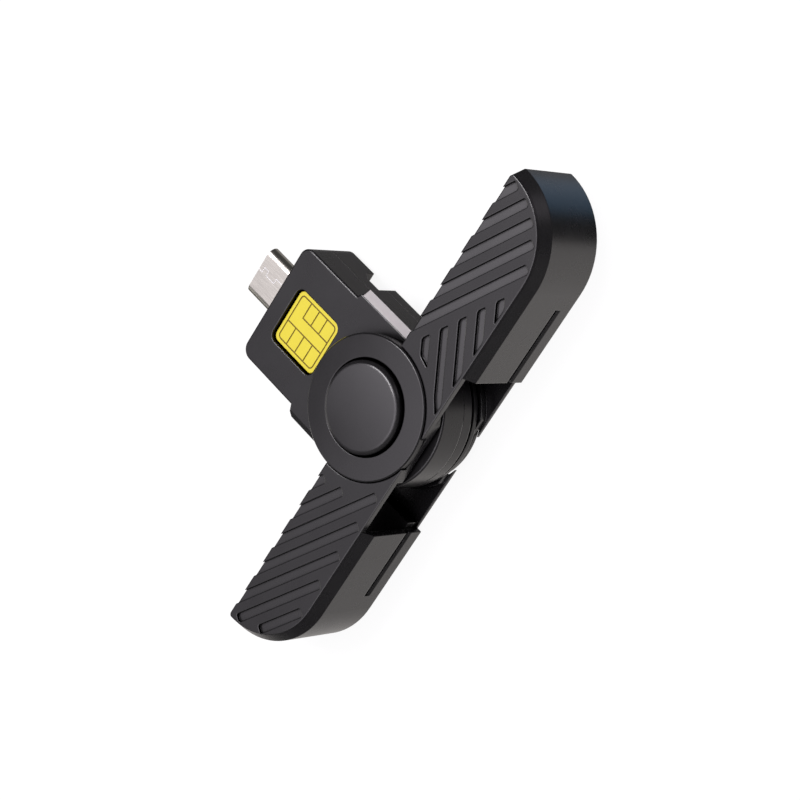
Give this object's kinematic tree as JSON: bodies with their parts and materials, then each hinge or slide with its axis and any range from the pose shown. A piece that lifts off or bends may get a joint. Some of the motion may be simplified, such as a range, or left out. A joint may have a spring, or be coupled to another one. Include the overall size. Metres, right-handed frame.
{
  "type": "smart card reader",
  "caption": "Folding smart card reader: a long D-shaped grooved casing with a card slot, and a plug module that swivels out of its middle on a round hub.",
  "frame": {"origin": "on the swivel axis, at the flat back face on which the reader lies", "axes": "+X along the casing towards the arm that takes the folded module, +Y towards the plug, +Z out of the front face"},
  "size_m": [0.0852, 0.045, 0.0147],
  "materials": {
    "casing_plastic": "fine matt texture, near black",
    "module_plastic": "fine matt texture, near black",
    "disc_plastic": "satin, near black",
    "cap_plastic": "satin, near black",
    "guide_plastic": "frosted, pale grey",
    "inlay_plastic": "smooth yellow with fine lines",
    "plug_steel": "satin",
    "core_plastic": "black",
    "contact_brass": "gold-plated",
    "board": "green lacquer",
    "chip_plastic": "black moulding",
    "can_steel": "plain",
    "ceramic": "sintered",
    "light_plastic": "clear",
    "screw_steel": "plain"
  },
  "bodies": {
    "casing": {"casing_shell": "casing_plastic", "back_cover": "casing_plastic", "casing_screws": "screw_steel"},
    "module": {"module_front_shell": "module_plastic", "module_back_shell": "module_plastic", "module_screws": "screw_steel", "card_tray": "module_plastic", "tray_screw": "screw_steel", "rear_disc": "disc_plastic", "rear_screw": "screw_steel", "pivot_disc": "disc_plastic", "pivot_screw": "screw_steel", "pivot_cap": "cap_plastic", "light_guide": "guide_plastic", "contact_inlay": "inlay_plastic", "usb_plug_shell": "plug_steel", "usb_plug_insulator": "core_plastic", "usb_contacts": "contact_brass", "circuit_board": "board", "reader_chip": "chip_plastic", "crystal": "can_steel", "capacitors": "ceramic", "status_led": "light_plastic", "card_contact_block": "core_plastic", "card_contact_springs": "contact_brass"}
  },
  "joints": [
    {"name": "module_swivel", "type": "hinge", "parent": "casing", "child": "module", "pos_m": [0, 0, 0], "axis": [0, 0, 1], "range_deg": [-90, 0]}
  ]
}
